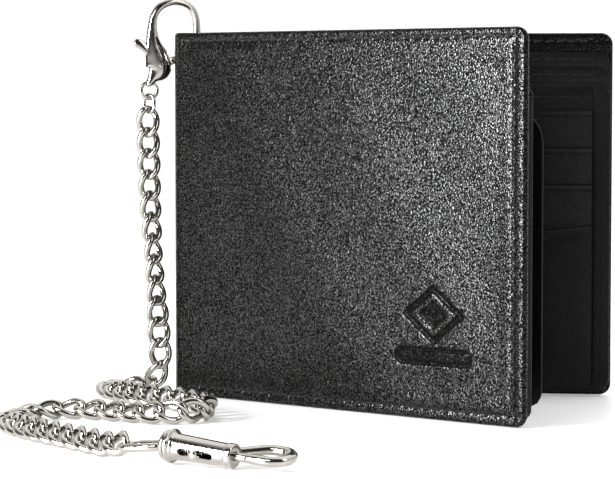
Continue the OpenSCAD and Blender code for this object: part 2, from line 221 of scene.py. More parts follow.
def merge(parts):
    """One list of points and faces from several."""
    points, faces, start = [], [], 0
    for part_points, part_faces in parts:
        points.append(np.asarray(part_points, float))
        faces += [[i + start for i in face] for face in part_faces]
        start += len(part_points)
    return np.vstack(points), faces


def grid_solid(top, bottom):
    """Closed solid between two grids of points of the same shape."""
    rows, cols = top.shape[:2]
    count = rows * cols
    index = np.arange(count).reshape(rows, cols)
    quads = np.stack(
        [index[:-1, :-1], index[:-1, 1:], index[1:, 1:], index[1:, :-1]], -1
    ).reshape(-1, 4)
    rim = np.concatenate([
        index[0, :-1], index[:-1, -1], index[-1, :0:-1], index[:0:-1, 0]
    ])
    after = np.roll(rim, -1)
    walls = np.stack([rim, rim + count, after + count, after], -1)
    faces = quads.tolist() + (quads[:, ::-1] + count).tolist() + walls.tolist()
    return np.concatenate([top.reshape(-1, 3), bottom.reshape(-1, 3)]), faces


def sheet_solid(u, z, top, bottom, place):
    """Closed solid between two levels over a grid of u and z."""
    return grid_solid(
        place(np.stack([u, top, z], -1)), place(np.stack([u, bottom, z], -1))
    )


def spaced(start, end, step, edge, dense=()):
    """Grid coordinates with a few close ones over a rounded edge at each end."""
    near = edge * (1 - np.cos(np.radians([0, 30, 60, 90])))
    inner = np.linspace(start + edge, end - edge, max(2, int((end - start) / step) + 1))
    values = np.concatenate([start + near, inner, end - near, np.asarray(dense, float)])
    values = np.sort(values)
    return values[np.concatenate([[True], np.diff(values) > 0.02])]


def round_corners(u, z, box, radii):
    """Moves grid points inside each corner onto a rounded corner. Radii go low
    start, low end, high end, high start."""
    u, z = u.copy(), z.copy()
    u0, u1, z0, z1 = box
    corners = [(u0, z0, 1, 1), (u1, z0, -1, 1), (u1, z1, -1, -1), (u0, z1, 1, -1)]
    for radius, (cu, cz, su, sz) in zip(radii, corners):
        if radius <= 0:
            continue
        mid_u, mid_z = cu + su * radius, cz + sz * radius
        a, b = (mid_u - u) * su / radius, (mid_z - z) * sz / radius
        inside = (a > 0) & (b > 0)
        scale = np.where(inside, np.maximum(a, b) / np.maximum(np.hypot(a, b), 1e-9), 1)
        u = np.where(inside, mid_u - su * radius * a * scale, u)
        z = np.where(inside, mid_z - sz * radius * b * scale, z)
    return u, z


def edge_fall(u, z, box, edge, sides=(1, 1, 1, 1)):
    """How far a half-round edge has dropped at each grid point."""
    u0, u1, z0, z1 = box
    far = np.full(u.shape, FAR)
    for use, distance in zip(sides, (u - u0, u1 - u, z - z0, z1 - z)):
        if use:
            far = np.minimum(far, distance)
    reach = edge - np.clip(far, 0, edge)
    return edge - np.sqrt(np.maximum(edge * edge - reach * reach, 0))


def board(box, low, high, place, edge, radii=SQUARE, step=2.5, warp=None):
    """Thin sheet from level low to level high, with half-round edges and rounded
    corners."""
    u, z = np.meshgrid(
        spaced(box[0], box[1], step, edge), spaced(box[2], box[3], step, edge)
    )
    fall = edge_fall(u, z, box, edge)
    wave = warp(u, z) if warp else 0
    u, z = round_corners(u, z, box, radii)
    return sheet_solid(u, z, high - fall + wave, low + fall + wave, place)


def ring_faces(count, sides, closed):
    """Faces between the rings of a row, with caps unless it closes on itself."""
    index = np.arange(count * sides).reshape(count, sides)
    after, beside = np.roll(index, -1, 0), np.roll(index, -1, 1)
    quads = np.stack([index, after, np.roll(beside, -1, 0), beside], -1)
    faces = quads[:count if closed else count - 1].reshape(-1, 4).tolist()
    if not closed:
        faces += [index[0, ::-1].tolist(), index[-1].tolist()]
    return faces


def tube(path, radii, sides=14, closed=False, across=None):
    """Sweeps a round or oval wire. radii is one number, one per point, or pairs:
    half width along 'across' and half width square to it."""
    path = np.asarray(path, float)
    count = len(path)
    radii = np.asarray(radii, float)
    if radii.ndim < 2:
        radii = np.broadcast_to(radii.reshape(-1, 1), (count, 2))
    if closed:
        ahead = np.roll(path, -1, 0) - np.roll(path, 1, 0)
    else:
        ahead = np.gradient(path, axis=0)
    ahead = unit(ahead)
    if across is None:
        seed = np.eye(3)[np.argmin(np.abs(ahead[0]))]
        side = []
        for t in ahead:
            seed = square_to(seed, t)
            side.append(seed)
        side = np.array(side)
        if closed:
            slip = np.cross(side[0], side[-1]) @ ahead[0]
            slips = np.linspace(0, -math.asin(max(-1, min(1, slip))), count)
            other = np.cross(ahead, side)
            side = side * np.cos(slips)[:, None] + other * np.sin(slips)[:, None]
    else:
        side = square_to(np.broadcast_to(np.asarray(across, float), path.shape), ahead)
    other = np.cross(ahead, side)
    if not closed:
        # Rounded ends: three rings that shrink past each end of the path
        angles = np.radians([75, 50, 25])
        first = [
            (path[0] - ahead[0] * radii[0].min() * math.sin(a), radii[0] * math.cos(a))
            for a in angles
        ]
        last = [
            (path[-1] + ahead[-1] * radii[-1].min() * math.sin(a), radii[-1] * math.cos(a))
            for a in angles[::-1]
        ]
        side = np.vstack([side[[0] * 3], side, side[[-1] * 3]])
        other = np.vstack([other[[0] * 3], other, other[[-1] * 3]])
        path = np.vstack([[p for p, r in first], path, [p for p, r in last]])
        radii = np.vstack([[r for p, r in first], radii, [r for p, r in last]])
    turns = np.linspace(0, 2 * math.pi, sides, endpoint=False)
    ring = (
        path[:, None]
        + radii[:, None, :1] * np.cos(turns)[None, :, None] * side[:, None]
        + radii[:, None, 1:] * np.sin(turns)[None, :, None] * other[:, None]
    )
    return ring.reshape(-1, 3), ring_faces(len(path), sides, closed)


def lathe(profile, sides=56, loop=False):
    """Turns a profile of (x, radius) about local x. A loop is a ring with a hole."""
    turns = np.linspace(0, 2 * math.pi, sides, endpoint=False)
    profile = np.asarray(profile, float)
    ring = np.stack([
        np.repeat(profile[:, :1], sides, 1),
        profile[:, 1:] * np.cos(turns),
        profile[:, 1:] * np.sin(turns),
    ], -1)
    return ring.reshape(-1, 3), ring_faces(len(profile), sides, loop)


def softened(profile, size, steps=4):
    """A profile with each corner replaced by a small curve."""
    profile = np.asarray(profile, float)
    out = [profile[0]]
    for before, here, after in zip(profile, profile[1:], profile[2:]):
        back, ahead = before - here, after - here
        reach = min(size, 0.45 * np.linalg.norm(back), 0.45 * np.linalg.norm(ahead))
        a = here + back / np.linalg.norm(back) * reach
        b = here + ahead / np.linalg.norm(ahead) * reach
        for t in np.linspace(0, 1, steps):
            out.append((1 - t) ** 2 * a + 2 * t * (1 - t) * here + t * t * b)
    return np.array(out + [profile[-1]])


def smooth_path(points, steps=8):
    """Catmull-Rom curve through the points."""
    p = np.asarray(points, float)
    out = []
    for i in range(len(p) - 1):
        a, b, c, d = p[max(i - 1, 0)], p[i], p[i + 1], p[min(i + 2, len(p) - 1)]
        for t in np.arange(steps) / steps:
            out.append(0.5 * (
                2 * b + (c - a) * t + (2 * a - 5 * b + 4 * c - d) * t * t
                + (3 * b - a - 3 * c + d) * t ** 3
            ))
    return np.array(out + [p[-1]])


def prism(name, outline, y0, y1, place, material, bevel=0):
    """Outline in x and z between two depths, with bevelled edges."""
    count = len(outline)
    points = [(x, y, z) for y in (y0, y1) for x, z in outline]
    faces = [list(range(count)), list(range(2 * count - 1, count - 1, -1))]
    faces += [
        [i, (i + 1) % count, (i + 1) % count + count, i + count] for i in range(count)
    ]
    obj = add_mesh(name, (place(points), faces), material)
    if bevel:
        tool = obj.modifiers.new("bevel", "BEVEL")
        tool.width = bevel * MM
        tool.segments = 3
        tool.limit_method = "ANGLE"
        tool.angle_limit = math.radians(25)
        apply_modifiers(obj)
    return obj


# ---- Materials ----

def grey(value, warm=0.0):
    return (value * (1 + warm), value, value * (1 - warm))


class Surface:
    """A procedural material, with short calls for building its nodes."""

    def __init__(self, name, colour, roughness, **sockets):
        self.material = bpy.data.materials.new(name)
        self.material.use_nodes = True
        self.material.diffuse_color = (*colour, 1)
        self.tree = self.material.node_tree
        self.shader = self.tree.nodes["Principled BSDF"]
        sockets.update(Base_Color=(*colour, 1), Roughness=roughness)
        for key, value in sockets.items():
            self.shader.inputs[key.replace("_", " ")].default_value = value
        self.place = self.add("ShaderNodeTexCoord").outputs["Object"]

    def add(self, kind, **values):
        node = self.tree.nodes.new(kind)
        for key, value in values.items():
            setattr(node, key, value)
        return node

    def link(self, value, socket):
        self.tree.links.new(value, socket)

    def drive(self, socket, value):
        self.link(value, self.shader.inputs[socket])

    def texture(self, kind, scale, vector, **values):
        node = self.add(kind, **values)
        node.inputs["Scale"].default_value = scale
        self.link(vector, node.inputs["Vector"])
        return node

    def stretched(self, stretch):
        node = self.add("ShaderNodeMapping")
        node.inputs["Scale"].default_value = stretch
        self.link(self.place, node.inputs["Vector"])
        return node.outputs["Vector"]

    def noise(self, scale, detail=3.0, roughness=0.55, stretch=None):
        vector = self.stretched(stretch) if stretch else self.place
        node = self.texture("ShaderNodeTexNoise", scale, vector)
        node.inputs["Detail"].default_value = detail
        node.inputs["Roughness"].default_value = roughness
        return node.outputs[0]

    def cells(self, scale):
        return self.texture("ShaderNodeTexVoronoi", scale, self.place).outputs["Distance"]

    def waves(self, scale, direction):
        node = self.texture(
            "ShaderNodeTexWave", scale, self.place, bands_direction=direction
        )
        return node.outputs["Fac"]

    def math(self, operation, a, b):
        node = self.add("ShaderNodeMath", operation=operation)
        for value, socket in ((a, node.inputs[0]), (b, node.inputs[1])):
            if isinstance(value, (int, float)):
                socket.default_value = value
            else:
                self.link(value, socket)
        return node.outputs[0]

    def ramp(self, value, low, high, low_at=0.3, high_at=0.7):
        node = self.add("ShaderNodeValToRGB")
        first, last = node.color_ramp.elements
        first.position, last.position = low_at, high_at
        first.color, last.color = (*low, 1), (*high, 1)
        self.link(value, node.inputs["Fac"])
        return node.outputs["Color"]

    def bump(self, height, depth):
        """depth is the relief in millimetres."""
        node = self.add("ShaderNodeBump")
        node.inputs["Distance"].default_value = depth * MM
        self.link(height, node.inputs["Height"])
        self.drive("Normal", node.outputs["Normal"])


def leather(name, dark, light, roughness, pebble, depth, specular, painted_crease_shine):
    """Pebbled leather: cells with creases between them, and fine pores. pebble is the scale of
    the cells. The creases get painted shade: their specular level is cut to the last
    argument's share."""
    hide = Surface(name, grey(light), roughness, Specular_IOR_Level=specular)
    tone = hide.ramp(hide.noise(55, 4), grey(dark, 0.03), grey(light, 0.03))
    hide.drive("Base Color", tone)
    rough = hide.ramp(hide.noise(420, 3), grey(roughness - 0.04), grey(roughness + 0.05))
    hide.drive("Roughness", rough)
    creases = hide.math("POWER", hide.cells(pebble), 1.3)
    swells = hide.math("MULTIPLY", hide.noise(pebble * 0.3, 2), 0.2)
    pores = hide.math("MULTIPLY", hide.noise(pebble * 1.4, 2), 0.3)
    hide.bump(hide.math("SUBTRACT", hide.math("ADD", swells, pores), creases), depth)
    # Painted shade: the specular level is cut in the creases between the pebbles and kept on
    # their tops, as if light reached only the tops
    painted_crease_shade = hide.ramp(hide.noise(pebble, 1), grey(painted_crease_shine), grey(1.0), 0.42, 0.64)
    # A stamped mark is pressed smooth and dull
    stamped = hide.add("ShaderNodeAttribute", attribute_name="stamped").outputs["Fac"]
    left = hide.math("SUBTRACT", 1.0, hide.math("MULTIPLY", stamped, 0.8))
    shine = hide.math("MULTIPLY", hide.math("MULTIPLY", painted_crease_shade, left), specular)
    hide.drive("Specular IOR Level", shine)
    return hide.material


def twill(name, colour):
    cloth = Surface(name, grey(colour), 0.8, Sheen_Weight=0.05, Specular_IOR_Level=0.15)
    tone = cloth.ramp(cloth.noise(240, 3), grey(colour * 0.7), grey(colour * 1.35))
    cloth.drive("Base Color", tone)
    cloth.bump(cloth.math("ADD", cloth.waves(620, "DIAGONAL"), cloth.waves(900, "Z")), 0.07)
    return cloth.material


def spun_thread(name, colour):
    yarn = Surface(name, grey(colour), 0.62, Sheen_Weight=0.05, Specular_IOR_Level=0.2)
    tone = yarn.ramp(yarn.noise(900, 2), grey(colour * 0.6), grey(colour * 1.6))
    yarn.drive("Base Color", tone)
    yarn.bump(yarn.waves(1700, "DIAGONAL"), 0.05)
    return yarn.material


def metal(name, colour, roughness, wear):
    """Plated metal with faint polishing marks and clouding."""
    plate = Surface(name, colour, roughness, Metallic=1.0)
    dull = tuple(c * 0.86 for c in colour)
    plate.drive("Base Color", plate.ramp(plate.noise(260, 4), dull, colour, 0.25, 0.6))
    low, high = grey(roughness - 0.04), grey(roughness + wear)
    plate.drive("Roughness", plate.ramp(plate.noise(700, 5, 0.7), low, high))
    plate.bump(plate.noise(900, 2, 0.6, stretch=(1, 1, 0.15)), 0.012)
    return plate.material


def clear_film(name):
    film = Surface(
        name, (0.86, 0.88, 0.9), 0.12, Transmission_Weight=0.85, IOR=1.46, Alpha=0.35
    )
    film.bump(film.noise(120, 3), 0.05)
    return film.material


# The last number is the specular share left in the creases, their painted shade
GRAIN = leather("grain_leather", 0.0015, 0.003, 0.18, 2100, 0.05, 0.36, 0.03)
SMOOTH = leather("inner_leather", 0.002, 0.004, 0.33, 2600, 0.03, 0.2, 0.6)
LINING = twill("lining_fabric", 0.003)
THREAD = spun_thread("thread", 0.0025)
NICKEL = metal("nickel_plate", (0.38, 0.36, 0.334), 0.11, 0.06)
STEEL = metal("spring_steel", (0.50, 0.49, 0.47), 0.26, 0.1)
FILM = clear_film("clear_film")


# ---- Chain ----

CHAIN_ROUTE = [
    (-7.5, -7.3, 73), (-7.3, -7.4, 64), (-6.9, -7.6, 54), (-6.3, -7.8, 44),
    (-5.4, -8.1, 34), (-4.5, -8.4, 24), (-3.7, -8.8, 15), (-3.4, -9, 8.5),
    (-5.2, -8.6, 4.2), (-8.6, -7.2, 2.6), (-12, -6.2, 2.6), (-15.2, -7, 2.6),
    (-16.6, -11.2, 2.6), (-15, -17, 2.6), (-11, -22.4, 2.6), (-5, -27.2, 2.6),
    (1.5, -31.4, 2.6), (9.5, -35.3, 2.6), (18, -39.5, 2.6), (25.8, -44.8, 2.6),
    (30.6, -52.2, 2.6), (29, -59.4, 2.6), (22, -62.4, 2.6), (13, -61.8, 2.6),
    (3.5, -61, 2.6), (-4.6, -62.6, 2.6), (-9.2, -69, 2.6), (-9.3, -77.5, 2.6),
    (-5.8, -86, 2.6), (0.4, -92.8, 2.6), (7.8, -98.8, 2.6), (15.8, -104, 2.6),
    (24, -108.8, 2.6), (31.8, -113.4, 2.8), (38.9, -117.2, 3.4),
]
LINK_HALF_LEN = 3.5
LINK_HALF_W = 2.3
LINK_WIRE_R = 0.88
LINK_TWIST = 42
LINK_PITCH = 5.55
FIRST_LINK_AT = 1.2
LINK_REACH = 2.6
ROUTE_STEPS = 16
CORD_POINTS = 91
# A link whose middle is lower than this is set down on the floor, over a small gap
LOW_LINK_Z = 3.2
FLOOR_GAP = 0.04
# Level, and to the camera's right
CHAIN_FRONT = np.array([0.9235, 0.3835, 0])
# Across-the-link direction at points of the route: (point, kind, degrees). "hang"
# turns from facing the front, "lie" rises from the floor away from the front.
CHAIN_KEYS = [
    (0, "hang", 0), (1.4, "hang", -8), (2.6, "hang", -38), (3.6, "hang", -58),
    (4.6, "hang", -52), (5.6, "hang", -12), (7, "hang", 4), (9.2, "lie", 35),
    (11, "lie", 8), (13, "lie", -16), (15, "lie", -60), (19, "lie", -66),
    (20.8, "lie", -88), (22.6, "lie", -146), (25, "lie", -148), (26.6, "lie", -176),
    (28, "lie", -200), (30, "lie", -228), (34, "lie", -230),
]


def chain_frames():
    """The path, the run at every point of it, and the across direction there."""
    path = smooth_path(CHAIN_ROUTE, ROUTE_STEPS)
    ahead = unit(np.gradient(path, axis=0))
    run = np.concatenate([[0], np.cumsum(np.linalg.norm(np.diff(path, axis=0), axis=1))])
    carried = []
    side = CHAIN_FRONT
    for t in ahead:
        side = square_to(side, t)
        carried.append(side)
    carried = np.array(carried)
    other = np.cross(ahead, carried)
    key_run, key_angle, last = [], [], 0.0
    for at, kind, degrees in CHAIN_KEYS:
        i = min(int(round(at * ROUTE_STEPS)), len(path) - 1)
        a = math.radians(degrees)
        t = ahead[i]
        if kind == "hang":
            base = square_to(CHAIN_FRONT, t)
            wish = base * math.cos(a) + np.cross(t, base) * math.sin(a)
        else:
            flat = unit(np.cross([0, 0, 1], t))
            wish = -flat * math.cos(a) + np.cross(flat, t) * -math.sin(a)
        angle = math.atan2(wish @ other[i], wish @ carried[i])
        angle += math.pi * round((last - angle) / math.pi)
        key_run.append(run[i])
        key_angle.append(angle)
        last = angle
    angles = np.interp(run, key_run, key_angle)[:, None]
    return path, run, carried * np.cos(angles) + other * np.sin(angles)


def make_chain():
    """The links as one object, and the line they follow."""
    path, run, sideways = chain_frames()

    def at(s):
        return np.stack([np.interp(s, run, path[:, k]) for k in range(3)], -1)

    count = int(round((run[-1] - FIRST_LINK_AT) / LINK_PITCH)) + 1
    t = np.linspace(0, 2 * math.pi, 36, endpoint=False)
    twist = math.radians(LINK_TWIST) * np.cos(t)
    # A slightly squared oval, as a curb link is
    long = LINK_HALF_LEN * np.cos(t) * (1 + 0.03 * np.sin(2 * t) ** 2)
    wide = LINK_HALF_W * np.sign(np.sin(t)) * np.abs(np.sin(t)) ** 0.9
    local = np.stack([long, wide * np.cos(twist), wide * np.sin(twist)], -1)
    parts = []
    for s in np.linspace(FIRST_LINK_AT, run[-1], count):
        i = min(int(np.searchsorted(run, s)), len(path) - 1)
        middle = at(s)
        # Each link turns with the bend: its ends follow the path
        heading = unit(at(s + LINK_REACH) - at(s - LINK_REACH))
        across = square_to(sideways[i], heading)
        axes = np.array([heading, across, np.cross(heading, across)])
        points, faces = tube(middle + local @ axes, LINK_WIRE_R, sides=12, closed=True)
        if middle[2] < LOW_LINK_Z:
            points = points - [0, 0, points[:, 2].min() - FLOOR_GAP]
        parts.append((points, faces))
    chain = add_mesh("curb_chain", merge(parts), NICKEL, sharp=60)
    return chain, at(np.linspace(0, run[-1], CORD_POINTS))


chain, chain_line = make_chain()


# ---- Cover skins ----

BEND_R = 3.5
BEND_AT = 3.966
BEND_ANGLE = math.radians(90 - FOLD_HALF)
BEND_LEN = BEND_R * BEND_ANGLE
COVER_START = 2.03
SPINE_SKIVE = 0.85
COVER_AT = BEND_AT + BEND_LEN
SKIN_LEN = COVER_AT + COVER_W - COVER_START
STITCH_TOP = 2.2
STITCH_SIDE = 3.2
STITCH_FOOT = 2.6
STITCH_PITCH = 3.0
HEM_STEP = 0.15
# Pitch, length and thread radius
INNER_STITCH = (3.4, 2.5, 0.17)
BORDER_STITCH = (3.0, 2.2, 0.2)
LEAF_STITCH = (3.0, 2.2, 0.18)
EMBLEM_U, EMBLEM_Z = 83.8, 25.6
EMBLEM_HALF_W, EMBLEM_HALF_H = 9.6, 7.6
EMBLEM_DEPTH = 0.42
BAR_Z = 15.4
BAR_HALF = 9.4
BAR_R = 2.3
FINE_GRID_U = (71.6, 96.2)
FINE_GRID_Z = (12.6, 33.6)
FINE_STEP = 0.3
GROOVE_DEPTH = 0.26
STAMP_DEPTH = 0.2


def skin_place(side):
    """Puts (run, depth, height) on the front or back skin: the spine from its
    middle, round the bend and along the cover."""
    def place(points):
        points = np.asarray(points, float)
        s, n, z = points[..., 0], points[..., 1], points[..., 2]
        depth = n - OUTER_N
        spine_x = OUTER_N + depth * SPINE_SKIVE
        phi = np.clip((s - BEND_AT) / BEND_R, 0, BEND_ANGLE)
        radius = BEND_R - depth * (SPINE_SKIVE + (1 - SPINE_SKIVE) * phi / BEND_ANGLE)
        bend_x = OUTER_N + BEND_R - radius * np.cos(phi)
        bend_y = -BEND_AT - radius * np.sin(phi)
        u = s - COVER_AT + COVER_START
        a = math.radians(FOLD_HALF)
        cover_x = u * math.cos(a) + n * math.sin(a)
        cover_y = -HINGE_Y - u * math.sin(a) + n * math.cos(a)
        x = np.where(s < BEND_AT, spine_x, np.where(s < COVER_AT, bend_x, cover_x))
        y = np.where(s < BEND_AT, -s, np.where(s < COVER_AT, bend_y, cover_y))
        return np.stack([x, side * y, z], -1)
    return place


def ridge(distance, width):
    return np.exp(-(distance / width) ** 2)


def step_up(x, start, end):
    t = np.clip((x - start) / (end - start), 0, 1)
    return t * t * (3 - 2 * t)


def emboss(u, z):
    """A plain lozenge in a lozenge, over a plain bar with round ends."""
    across = np.abs(u - EMBLEM_U)
    a = across / EMBLEM_HALF_W + np.abs(z - EMBLEM_Z) / EMBLEM_HALF_H
    outer = step_up(a, 1.0, 0.9) - step_up(a, 0.78, 0.68)
    inner = step_up(a, 0.5, 0.4)
    reach = np.hypot(np.maximum(across - BAR_HALF, 0), z - BAR_Z)
    bar = step_up(reach, BAR_R, 1.9) - 0.55 * step_up(reach, 1.35, 1.0)
    return EMBLEM_DEPTH * (outer + 0.8 * inner + bar)


def skin(side, name):
    """A cover's outer leather with its half of the spine's, hemmed on three
    edges. side is 1 for the front and -1 for the back."""
    box = (0.0, SKIN_LEN, 0.0, COVER_H)
    edge, step, furrow = 0.8, 0.8, 0.55
    offset = COVER_AT - COVER_START
    stitch_s, stitch_top = SKIN_LEN - STITCH_SIDE, COVER_H - STITCH_TOP
    hem_s, hem_top = SKIN_LEN - HEM_W, COVER_H - HEM_W
    near_stitch = np.array([-0.8, -0.4, 0, 0.4, 0.8])
    near_hem = np.array([-HEM_STEP, HEM_STEP])
    dense_s = [*(stitch_s + near_stitch), stitch_s + 1.6, *(hem_s + near_hem)]
    dense_s += [BEND_AT + BEND_LEN * k / 8 for k in range(9)]
    dense_z = [*(STITCH_FOOT + near_stitch), *(stitch_top + near_stitch)]
    dense_z += [*(HEM_W + near_hem), *(hem_top + near_hem)]
    if side > 0:
        start, end = FINE_GRID_U
        dense_s += np.arange(offset + start, offset + end, FINE_STEP).tolist()
        dense_z += np.arange(*FINE_GRID_Z, FINE_STEP).tolist()
    s, z = np.meshgrid(
        spaced(0, SKIN_LEN, step, edge, dense_s), spaced(0, COVER_H, step, edge, dense_z)
    )
    u = s - offset
    fall = edge_fall(s, z, box, edge, (0, 1, 1, 1))
    # Where the stitch lines pull the leather in, and the puckers between stitches
    line_top = ridge(z - stitch_top, furrow) * step_up(u, 2, 6)
    line_foot = ridge(z - STITCH_FOOT, furrow) * step_up(u, 2, 6)
    line_side = ridge(s - stitch_s, furrow)
    along = 0.78 + 0.22 * np.cos(2 * math.pi * u / STITCH_PITCH)
    along_z = 0.78 + 0.22 * np.cos(2 * math.pi * z / STITCH_PITCH)
    groove = np.maximum(np.maximum(line_top, line_foot) * along, line_side * along_z)
    # The hem stands out a little, and the cover between the hems is wavy
    band = np.minimum(np.minimum(COVER_H - z, z), SKIN_LEN - s)
    plump = ridge(band - HEM_W, 1.6) * 0.07 * step_up(u, 4, 10)
    wave = 0.10 * np.sin(u / 17 + 1.3 * side) * np.sin(z / 23 + 0.5)
    wave = (wave + 0.05 * np.sin(u / 6.1 + z / 9.7)) * step_up(u, 6, 25)
    wave = wave * step_up(band, 0, 14)
    outer = OUTER_N + fall + GROOVE_DEPTH * groove - plump + wave
    if side > 0:
        outer = outer + emboss(u, z)
    hem = step_up(u, 3.5, 6) * np.maximum(
        np.maximum(step_up(z, HEM_W + HEM_STEP, HEM_W - HEM_STEP),
                   step_up(z, hem_top - HEM_STEP, hem_top + HEM_STEP)),
        step_up(s, hem_s - HEM_STEP, hem_s + HEM_STEP),
    )
    inner = LEATHER_IN + hem * (HEM_N - LEATHER_IN) - fall
    inner = inner - 0.12 * groove * hem + wave * (1 - hem)
    # The free corners' gathered folds, inside
    for corner_z in (0.0, COVER_H):
        du, dz = SKIN_LEN - s, np.abs(z - corner_z)
        angle = np.arctan2(dz, du + 1e-6)
        reach = np.hypot(du, dz)
        fold = ridge(reach - 4.2, 2.2) * np.cos(angle * 22) * (du < 9) * (dz < 9)
        inner = inner - 0.07 * np.maximum(fold, 0) * hem
    s, z = round_corners(s, z, box, (0, 3, 3, 0))
    shape = sheet_solid(s, z, outer, inner, skin_place(side))
    obj = add_mesh(name, shape, GRAIN, sharp=70)
    if side > 0:
        stamp = np.clip(emboss(u, z) / STAMP_DEPTH, 0, 1).ravel()
        layer = obj.data.attributes.new("stamped", "FLOAT", "POINT")
        layer.data.foreach_set("value", np.concatenate([stamp, 0 * stamp]))
    drill = placed(on_eyelet, lathe([(-4, EYELET_HOLE_R), (4, EYELET_HOLE_R)], 40))
    cut(obj, [add_mesh("drill", drill, GRAIN)], sharp=70)
    if side > 0:
        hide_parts("front_leather", "spine_leather")
    else:
        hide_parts("back_leather")
    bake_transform(obj)


def stitch_rows(rows, level, out, place, pitch=STITCH_PITCH, length=2.35, radius=0.24):
    """Thread bars along straight rows from (u, z) to (u, z). Each bar rises out of
    the leather and sinks back at its ends. level may be a function of u and z."""
    parts = []
    for (ua, za), (ub, zb) in rows:
        run = math.hypot(ub - ua, zb - za)
        du, dz = (ub - ua) / run, (zb - za) / run
        for k in range(int(run / pitch)):
            middle = (k + 0.5) * pitch
            slant = 0.045 + random.uniform(-0.02, 0.02)
            bar = []
            for t in np.linspace(-1, 1, 7):
                along = middle + t * length / 2
                u = ua + du * along - dz * t * slant * length
                z = za + dz * along + du * t * slant * length
                base = level(u, z) if callable(level) else level
                bar.append((u, base + out * radius * (0.55 - 1.5 * t ** 4), z))
            parts.append(tube(place(np.array(bar)), radius, sides=7))
    return merge(parts)


def sew(name, rows, level, place, body, stitch=INNER_STITCH):
    shape = stitch_rows(rows, level, 1, place, *stitch)
    add_piece(name + "_stitching", shape, THREAD, body)


def cover_threads(place, side):
    """The edge seam of a cover, as it shows outside and inside."""
    start, end = STACK_START - 0.4, COVER_W - STITCH_SIDE
    top = COVER_H - STITCH_TOP
    rows = [
        ((start, top), (end, top)),
        ((start, STITCH_FOOT), (end, STITCH_FOOT)),
        ((end, STITCH_FOOT + 0.6), (end, top)),
    ]
    outside = stitch_rows(rows, OUTER_N + 0.24, -1, place)
    inside = stitch_rows(rows, HEM_N - 0.1, 1, place)
    add_piece(
        side + "_stitching", merge([outside, inside]), THREAD, side + "_cover",
        [side + "_thread"],
    )


skin(1, "front_skin")
skin(-1, "back_skin")
cover_threads(on_front, "front")
cover_threads(on_back, "back")


# ---- Inside of the covers ----

STACK_RADII = (0, 3, 3, 0)


def inner_board(name, box, low, high, place, body, material, replaced, radii, step=2.5):
    shape = board(box, low, high, place, 0.45 * (high - low), radii, step)
    add_piece(name, shape, material, body, replaced)


def card_strip(name, z_top, z_next, tail, t, u0, u1, n, place, body, replaced):
    """A tilted strip with a rolled top edge and a crease under it."""
    low_z = z_next - tail

    def crease(z):
        return 0.09 * ridge(z - (z_top - 1.2), 0.35)

    def outer(u, z):
        tilt = np.interp(z, [low_z, z_next, z_top], [n + t - 0.16, n + t - 0.1, n + 2 * t])
        sag = 0.03 * np.sin((u - u0) / (u1 - u0) * math.pi * 3)
        return tilt - crease(z) + sag * step_up(z, z_next, z_top)

    def inner(u, z):
        return outer(u, z) - 0.86 * t + crease(z)

    box = (u0, u1, low_z, z_top)
    u = spaced(u0, u1, 4, 0.2)
    z = spaced(low_z, z_top, 1.6, 0.22, [z_top - d for d in (0.6, 0.85, 1.2, 1.55, 1.9)])
    u, z = np.meshgrid(u, z)
    fall = edge_fall(u, z, box, 0.2)
    shape = sheet_solid(u, z, outer(u, z) - fall, inner(u, z) + fall, place)
    add_piece(name, shape, SMOOTH, body, replaced)
    row = [((u0 + 1.5, z_top - 2.4), (u1 - 1, z_top - 2.4))]
    sew(name, row, outer, place, body)


def slip_pocket(name, place, body, replaced):
    """The pocket below the strips, with its edge falling towards the spine."""
    u0, u1, z0 = SLOT_START, SLOT_END, STACK_FOOT + 1
    low, high = SLOT_N + SLOT_T, SLOT_N + 2 * SLOT_T
    u, v = np.meshgrid(
        spaced(u0, u1, 3, 0.22), spaced(0, 1, 0.05, 0.006, [0.93, 0.95, 0.97])
    )
    top = np.interp(u, [u0, u1], [SLOT_TOPS[3] - 11, SLOT_TOPS[3]])
    z = z0 + v * (top - z0)
    fall = edge_fall(u, z, (u0, u1, z0, FAR), 0.22)
    fall = np.maximum(fall, edge_fall(u, top - z, (-FAR, FAR, 0, FAR), 0.22))
    crease = 0.08 * ridge(top - z - 1.3, 0.4)
    shape = sheet_solid(u, z, high - fall - crease, low + fall, place)
    add_piece(name, shape, SMOOTH, body, replaced)
    rows = [
        ((u0 + 1.6, SLOT_TOPS[3] - 13.4), (u1 - 1, SLOT_TOPS[3] - 2.5)),
        ((u0 + 1.6, z0 + 1.6), (u1 - 1, z0 + 1.6)),
        ((u0 + 1.4, z0 + 2), (u0 + 1.4, SLOT_TOPS[3] - 14)),
    ]
    sew(name, rows, high, place, body)


def divider_band(name, z_top, n, place, body):
    """Leather folded over a divider's top edge, with its row of stitches."""
    box = (STACK_START + 0.3, STACK_END - 0.2, z_top - 3.9, z_top + 0.12)
    inner_board(name, box, n - 0.35, n + 0.2, place, body, SMOOTH, [], (0, 2.8, 2.8, 0), 1.2)
    row = [((STACK_START + 1.5, z_top - 1.8), (STACK_END - 3, z_top - 1.8))]
    sew(name, row, n + 0.2, place, body)


